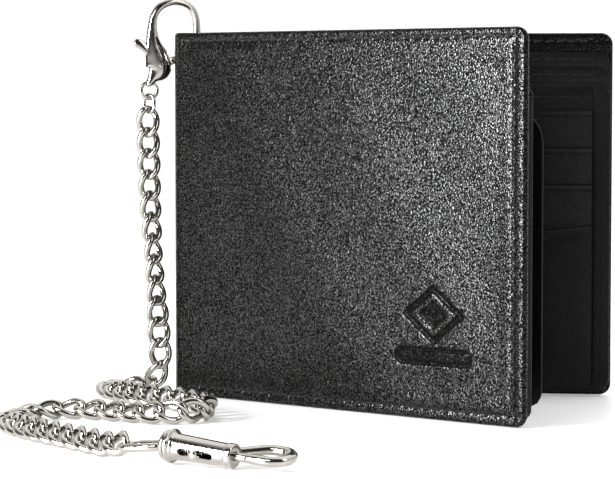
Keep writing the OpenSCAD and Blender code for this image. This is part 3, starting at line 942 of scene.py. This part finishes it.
def cover_inside(place, side):
    """Everything sewn to the inside of a cover, from the leather outwards."""
    body = side + "_cover"

    def layer(name, node, box, low, high, material, radii=STACK_RADII, step=2.5):
        inner_board(f"{side}_{name}", box, low, high, place, body, material,
                    [f"{side}_{node}"], radii, step)

    def stack(top):
        return STACK_START, STACK_END, STACK_FOOT, top

    middle_n, panel_n = HEM_N + 0.5, HEM_N + 1.0
    lining = (0.9, COVER_W - HEM_W, HEM_W, COVER_H - HEM_W)
    layer("lining_cloth", "lining", lining, LEATHER_IN, LEATHER_IN + 0.4, LINING, SQUARE)
    if side == "back":
        layer("outer_divider_cloth", "outer_divider", stack(OUTER_DIVIDER_TOP),
              HEM_N, middle_n, LINING)
        layer("inner_divider_cloth", "inner_divider", stack(DIVIDER_TOP),
              middle_n, panel_n, LINING)
        divider_band("back_outer_divider_band", OUTER_DIVIDER_TOP, middle_n, place, body)
    else:
        layer("divider_cloth", "divider", stack(DIVIDER_TOP), HEM_N, panel_n, LINING)
    divider_band(side + "_divider_band", DIVIDER_TOP, panel_n, place, body)
    layer("inside_panel", "panel", stack(PANEL_TOP), panel_n, SLOT_N, SMOOTH)
    row = [((STACK_START + 1.5, PANEL_TOP - 2.4), (STACK_END - 3, PANEL_TOP - 2.4))]
    sew(side + "_panel", row, SLOT_N, place, body)
    strips = [(SLOT_TOPS[1], 4), (SLOT_TOPS[2], 4), (SLOT_TOPS[3] + 0.4, 15)]
    for i, (z_next, tail) in enumerate(strips):
        card_strip(
            f"{side}_card_strip_{i + 1}", SLOT_TOPS[i], z_next, tail, SLOT_T,
            SLOT_START, SLOT_END, SLOT_N, place, body, [f"{side}_slot_{i + 1}"],
        )
    slip_pocket(side + "_slip_pocket", place, body, [side + "_pocket"])
    border = (SLOT_END + 0.3, SLOT_END + 4.7, STACK_FOOT + 1, PANEL_TOP)
    border_n = SLOT_N + SLOT_T
    layer("border_strip", "border", border, SLOT_N, border_n, SMOOTH, (0, 2, 2, 0), 1.4)
    row = [((SLOT_END + 2.6, 4), (SLOT_END + 2.6, PANEL_TOP - 2))]
    sew(side + "_border", row, border_n, place, body, BORDER_STITCH)


cover_inside(on_front, "front")
cover_inside(on_back, "back")


# ---- Leaf ----

WINDOW_MARGIN = 12
SEAM_GAP = 2.4


def gentle(u, z):
    """The clear film's slight waves."""
    return 0.02 * np.sin(u / 13 + 0.4) * np.sin(z / 17 + 0.8)


def leaf():
    core = (0.8, LEAF_LEN, 1.0, LEAF_TOP)
    radii = (0, 4, 8, 0)
    inner_board("leaf_core", core, -0.35, 0.35, on_leaf, "leaf", SMOOTH, ["leaf_panel"], radii)
    frame_box = (1.8, LEAF_LEN - 1, 2.0, LEAF_TOP - 1)
    shape = board(frame_box, 0.35, 0.85, on_leaf, 0.2, radii)
    face = add_mesh("leaf_window_frame", shape, SMOOTH)
    u0, u1 = WINDOW_MARGIN, LEAF_LEN - WINDOW_MARGIN
    z0, z1 = 10, LEAF_TOP - WINDOW_MARGIN
    hole = [(u0, z0), (u1, z0), (u1, z1), (u0, z1)]
    cut(face, [prism("cutter", hole, 0.1, 1.2, on_leaf, SMOOTH)])
    finish_piece(face, "leaf", ["leaf_frame"])
    film = board((u0, u1, z0, z1), 0.36, 0.52, on_leaf, 0.05, step=6, warp=gentle)
    add_piece("leaf_film", film, FILM, "leaf", ["leaf_window"])
    left, right, foot, top = u0 - SEAM_GAP, u1 + SEAM_GAP, z0 - SEAM_GAP, z1 + SEAM_GAP
    rows = [
        ((left, foot), (right, foot)), ((left, top), (right, top)),
        ((left, z0 - 2), (left, z1 + 2)), ((right, z0 - 2), (right, z1 + 2)),
    ]
    sew("leaf", rows, 0.85, on_leaf, "leaf", LEAF_STITCH)
    strips = [(LEAF_TOP - 8, LEAF_TOP - 20, 4), (LEAF_TOP - 20, 5, 1)]
    for i, (z_top, z_next, tail) in enumerate(strips, 1):
        card_strip(f"leaf_strip_{i}", z_top, z_next, tail, 0.4, 4, LEAF_LEN - 8, 0.35,
                   on_leaf_front, "leaf", [f"leaf_slot_{i}"])


leaf()


# ---- Eyelet ----

def eyelet():
    bore, wall, lip = 3.22, 3.7, 4.9
    ring = [
        (1.0, bore), (-0.6, bore), (-1.05, 3.7), (-1.05, lip - 0.5), (-0.82, lip),
        (-0.7, lip - 0.1), (-0.7, wall), (1.0, wall),
    ]
    washer = [
        (0.6, wall + 0.05), (0.6, lip), (0.72, lip), (0.9, lip - 0.4), (0.9, wall + 0.05),
    ]
    for name, node, profile, size in (
        ("eyelet_ring", "eyelet", ring, 0.2),
        ("eyelet_washer_ring", "eyelet_washer", washer, 0.1),
    ):
        shape = lathe(softened(profile, size), 64, loop=True)
        add_piece(name, placed(on_eyelet, shape), NICKEL, "spine", [node])


eyelet()


# ---- Lobster clasp ----

LEVER_PIN = (-6.9, -3.2)
CLASP_LUG = (-10.1, 0, -7.6)


def arc(centre, radius, start, end, count):
    a = np.radians(np.linspace(start, end, count))
    return [(centre[0] + radius * math.cos(t), centre[1] + radius * math.sin(t)) for t in a]


def clasp():
    # Middle line of the hook and body with its half width and half thickness
    stations = [
        (3.2, -1.9, 0.72, 0.85), (3.2, 0.5, 0.86, 0.95), (3.2, 3.5, 0.94, 1.0),
        (3.2, 6.6, 1.0, 1.02), (2.7, 10.0, 1.0, 1.05), (0.9, 12.6, 1.0, 1.08),
        (-2.9, 13.65, 1.02, 1.1), (-6.6, 12.5, 1.05, 1.15), (-8.6, 10.0, 1.08, 1.2),
        (-9.15, 6.8, 1.3, 1.3), (-9.0, 3.2, 1.95, 1.4), (-8.25, 0.0, 3.05, 1.46),
        (-7.5, -2.6, 3.8, 1.48), (-7.6, -4.6, 3.2, 1.42), (-8.95, -6.4, 1.65, 1.25),
        (-10.1, -7.9, 0.95, 1.12),
    ]
    line = smooth_path([(x, 0, z) for x, z, w, t in stations], 6)
    sizes = smooth_path([(w, t, 0) for x, z, w, t in stations], 6)[:, :2]
    thick_way = (on_clasp([(0, 1, 0)]) - on_clasp([(0, 0, 0)]))[0]
    shape = tube(on_clasp(line), sizes[:, ::-1], 28, across=thick_way)
    body = add_mesh("clasp_hook_body", shape, NICKEL)
    px, pz = LEVER_PIN
    room = [
        (px - 8, pz + 10.4), (px - 8, pz + 0.6), (px - 1.4, pz - 1.3), (px, pz - 1.75),
        (px + 1.2, pz - 1.3), (px + 6, pz), (px + 6, pz + 6.5), (px + 3, pz + 5),
        (px + 0.6, pz + 2.3),
    ]
    slot = prism("cutter_slot", room, -0.75, 0.75, on_clasp, NICKEL)
    lug = placed(placer(CLASP_LUG, np.eye(3)), lathe([(-3, 0.8), (3, 0.8)], 24))
    cut(body, [slot, add_mesh("cutter_lug", placed(on_clasp, lug), NICKEL)])
    finish_piece(body, "spine", ["clasp_body"])

    outline = [
        (px + 0.4, pz + 1.25), (px + 2.5, pz + 2.3), (1.2, 0.35), (2.15, 0.2), (2.2, -0.9),
        (1.0, -1.15), (px + 3, pz + 0.2), (px + 0.8, pz - 1.15), (px - 0.4, pz - 1.2),
        (px - 1.2, pz - 0.6), (-10.4, -0.5), (-12.6, 1.0), (-14.1, 1.75), (-14.35, 2.9),
        (-13.6, 3.85), (-12.5, 3.85), (-11.2, 2.9), (-9.6, 0.9), (px - 0.5, pz + 1.3),
    ]
    lever = prism("clasp_lever_plate", outline, -0.6, 0.6, on_clasp, NICKEL, 0.3)
    finish_piece(lever, "clasp_lever", ["clasp_lever"])

    head = softened([
        (-1.62, 0.0), (-1.62, 0.4), (-1.5, 0.62), (1.5, 0.62), (1.62, 0.4), (1.62, 0.0)
    ], 0.08)
    rivet = lathe([(x, max(r, 0.02)) for x, r in head], 24)
    rivet = placed(placer((px, 0, pz), turn("z", 90)), rivet)
    add_piece("clasp_rivet", placed(on_clasp, rivet), NICKEL, "spine", ["clasp_pin"])

    t = np.linspace(0, 2 * math.pi * 2.5, 70)
    coil = np.stack(
        [px + 0.95 * np.cos(t), 0.18 + 0.4 * t / t[-1], pz + 0.95 * np.sin(t)], -1
    )
    shape = tube(on_clasp(coil), 0.1, 8)
    add_piece("clasp_torsion_coil", shape, STEEL, "spine", ["clasp_spring"])


clasp()


def rings():
    """The jump ring in the clasp's lug, and the link between it and the chain."""
    lug = on_clasp([CLASP_LUG])[0]
    ring_r, ring_wire, link_r, link_wire, straight, gap = 2.1, 0.5, 1.7, 0.45, 0.65, 0.05
    t = np.linspace(0, 2 * math.pi, 48, endpoint=False)
    ring = np.stack(
        [ring_r * np.cos(t), 0.05 * np.sin(t), ring_r * np.sin(t) - ring_r], -1
    )
    shape = tube(placer(lug, turn("z", 34))(ring), ring_wire, 14, closed=True)
    add_piece("clasp_jump_ring", shape, NICKEL, "spine", ["jump_ring"])
    top_z = -2 * ring_r + ring_wire + link_wire + gap
    middle = lug + [0, 0, top_z - link_r - straight]
    line = [(x, 0, z + straight) for x, z in arc((0, 0), link_r, 0, 180, 16)]
    line += [(x, 0, z - straight) for x, z in arc((0, 0), link_r, 180, 360, 16)]
    shape = tube(placer(middle, turn("z", -14))(line), link_wire, 14, closed=True)
    add_piece("chain_connector", shape, NICKEL, "spine", ["connector_link"])


rings()


# ---- Swivel bolt snap ----

BOLT_END = 19.6
SHOULDER_X = 7.0
STUD_X = 7.9
SPRING_FOOT_X = 2.2
SPRING_R = 1.33
SPRING_TURNS = 8.5


def snap():
    # Swivel eye: a loop of wire that narrows towards the swivel's disc
    bend_x, bend_r = -9.2, 3.2
    leg = [(-0.9, 1.6), (-2.0, 2.75), (-4.5, 3.2), (-7, 3.2)]
    loop = leg + arc((bend_x, 0), bend_r, 90, 270, 17) + [(x, -y) for x, y in leg[::-1]]
    line = smooth_path([(x, y, 0) for x, y in loop], 3)
    disc = softened([
        (-1.6, 0.02), (-1.6, 2.6), (-1.2, 3.3), (-0.5, 3.4), (-0.2, 3.1), (-0.2, 1.0),
        (1.2, 1.0), (1.25, 1.6), (2.05, 1.6), (2.1, 0.02),
    ], 0.25)
    shape = merge([tube(on_loop(line), 0.95, 18), placed(on_eye, lathe(disc))])
    add_piece("snap_swivel_eye", shape, NICKEL, "front_cover", ["swivel_eye"])

    outer = [
        (0.0, 1.06), (0.0, 3.35), (0.25, 3.75), (0.75, 3.75), (1.0, 3.35), (1.1, 3.15),
        (1.55, 3.15), (1.8, 2.9), (14.6, 2.5), (14.75, 2.66), (15.05, 2.7), (16.1, 2.7),
        (16.4, 2.45), (16.4, 1.02),
    ]
    bore = [(13.4, 1.02), (13.4, 1.7), (1.2, 1.7), (1.2, 1.06)]
    shape = placed(on_snap, lathe(softened(outer + bore, 0.12), 72, loop=True))
    barrel = add_mesh("snap_barrel_shell", shape, NICKEL)
    slot = arc((STUD_X - 3.6, 0), 0.85, 90, 270, 9) + arc((STUD_X + 3.4, 0), 0.85, -90, 90, 9)
    cut(barrel, [prism("cutter_slot", slot, -5, -0.6, on_snap, NICKEL)])
    finish_piece(barrel, "snap", ["snap_barrel"])

    line = [(BOLT_END, 0), (21.0, 0), (22.4, 0)] + arc((23.8, 3.8), 3.8, -90, 90, 17)
    line += [(22.2, 7.6), (20.9, 7.4), (19.6, 6.65), (18.2, 5.45), (16.8, 4.1), (15.6, 2.9)]
    line = smooth_path([(x, y, 0) for x, y in line], 4)
    size = np.interp(np.arange(len(line)), [0, 6, len(line) - 26, len(line) - 1],
                     [1.02, 1.15, 1.15, 1.08])
    hook = add_mesh("snap_hook_wire", tube(on_snap(line), size, 20), NICKEL)
    core = placed(on_snap, lathe([(10, 2.6), (16.42, 2.6)], 40))
    cut(hook, [add_mesh("cutter_core", core, NICKEL)])
    finish_piece(hook, "snap", ["snap_hook"])

    bolt = softened([
        (5.9, 0.02), (5.9, 0.6), (7.0, 0.6), (7.05, 1.6), (8.95, 1.6), (9.0, 0.95),
        (19.2, 0.95), (19.5, 0.75), (19.52, 0.02),
    ], 0.15)
    shape = placed(on_snap, lathe(bolt, 40))
    add_piece("snap_bolt_pin", shape, NICKEL, "snap_bolt", ["snap_bolt"])
    knob = softened([
        (0, 0.02), (0, 0.74), (1.6, 0.74), (1.7, 1.05), (1.95, 1.18), (2.3, 1.08),
        (2.52, 0.6), (2.55, 0.02),
    ], 0.2)
    knob = placed(placer((STUD_X, -1.6, 0), turn("z", -90)), lathe(knob, 40))
    shape = placed(on_snap, knob)
    add_piece("snap_thumb_knob", shape, NICKEL, "snap_bolt", ["bolt_thumb_stud"])

    t = np.linspace(0, 1, int(SPRING_TURNS * 18))
    length = SHOULDER_X - 0.1 - SPRING_FOOT_X
    angle = 2 * math.pi * SPRING_TURNS * t
    coil = np.stack([
        SPRING_FOOT_X + length * t, SPRING_R * np.cos(angle), SPRING_R * np.sin(angle)
    ], -1)
    spring = add_mesh("snap_coil_spring", tube(on_snap(coil), 0.19, 8), STEEL)
    finish_piece(spring, "snap", ["bolt_spring"])
    axis = tuple(float(v) for v in on_snap([(1, 0, 0)])[0] - np.array(SNAP_AT))
    anchor = tuple(float(v) * MM for v in on_snap([(SPRING_FOOT_X, 0, 0)])[0])
    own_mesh(spring)


snap()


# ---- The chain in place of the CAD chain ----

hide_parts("chain")
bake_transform(chain)


# ---- CAD nodes that stay ----

for name in ("spine_lining", "leaf_tab"):
    materials = nodes[name].data.materials
    if not materials:
        materials.append(SMOOTH)
    for i in range(len(materials)):
        materials[i] = SMOOTH


# ---- Floor, world and lights ----

def make_floor():
    mesh = bpy.data.meshes.new("floor")
    mesh.from_pydata([(-9, -9, 0), (9, -9, 0), (9, 9, 0), (-9, 9, 0)], [], [(0, 1, 2, 3)])
    paper = Surface(
        "floor", grey(0.86), 0.42, Emission_Color=(1, 1, 1, 1), Emission_Strength=0.22
    )
    paper.drive("Base Color", paper.ramp(paper.noise(3, 2), grey(0.855), grey(0.87)))
    mesh.materials.append(paper.material)
    floor = new_object("floor", mesh)
    floor.location = (0, 0, -0.0001)


def make_world():
    """White behind the wallet and dark in front of it, for contrast in metal."""
    world = bpy.data.worlds.new("studio")
    world.use_nodes = True
    bpy.context.scene.world = world
    tree = world.node_tree
    back = tree.nodes["Background"]
    place = tree.nodes.new("ShaderNodeTexCoord")
    split = tree.nodes.new("ShaderNodeSeparateXYZ")
    tree.links.new(place.outputs["Generated"], split.inputs[0])
    ramp = tree.nodes.new("ShaderNodeValToRGB")
    reach = tree.nodes.new("ShaderNodeMapRange")
    reach.inputs["From Min"].default_value = -1
    tree.links.new(split.outputs["Y"], reach.inputs["Value"])
    tree.links.new(reach.outputs[0], ramp.inputs["Fac"])
    # Grey levels from the front, where the camera is, to the back
    stops = [(0.0, 0.10), (0.16, 0.03), (0.34, 0.08), (0.46, 0.8), (0.56, 1.0)]
    elements = ramp.color_ramp.elements
    while len(elements) < len(stops):
        elements.new(0.5)
    for element, (position, value) in zip(elements, stops):
        element.position = position
        element.color = (value, value, value, 1)
    tree.links.new(ramp.outputs["Color"], back.inputs["Color"])
    back.inputs["Strength"].default_value = 1.15


def area_light(name, at, aim, size, power):
    light = bpy.data.lights.new(name, "AREA")
    light.shape = "RECTANGLE"
    light.size, light.size_y = size
    light.energy = power
    obj = new_object(name, light)
    direction = np.array(aim) - np.array(at)
    obj.location = at
    obj.rotation_euler = Vector(direction).to_track_quat("-Z", "Y").to_euler()
    obj.visible_camera = False


def sun_light(toward, strength, width):
    light = bpy.data.lights.new("overhead", "SUN")
    light.energy = strength
    light.angle = math.radians(width)
    obj = new_object("overhead", light)
    obj.rotation_euler = Vector(toward).to_track_quat("Z", "Y").to_euler()


make_floor()
make_world()
area_light("side_softbox", (-0.50, -0.78, 0.28), (0.10, -0.03, 0.07), (0.16, 0.56), 28)
area_light("front_softbox", (-0.15, -0.85, 0.62), (0.05, -0.03, 0.05), (0.4, 0.3), 2.5)
area_light("right_softbox", (0.62, -0.25, 0.4), (0.06, 0.0, 0.04), (0.2, 0.5), 1.2)
sun_light((0.1, 0.55, 1.0), 1.0, 80)
bpy.context.scene.view_settings.view_transform = "Standard"
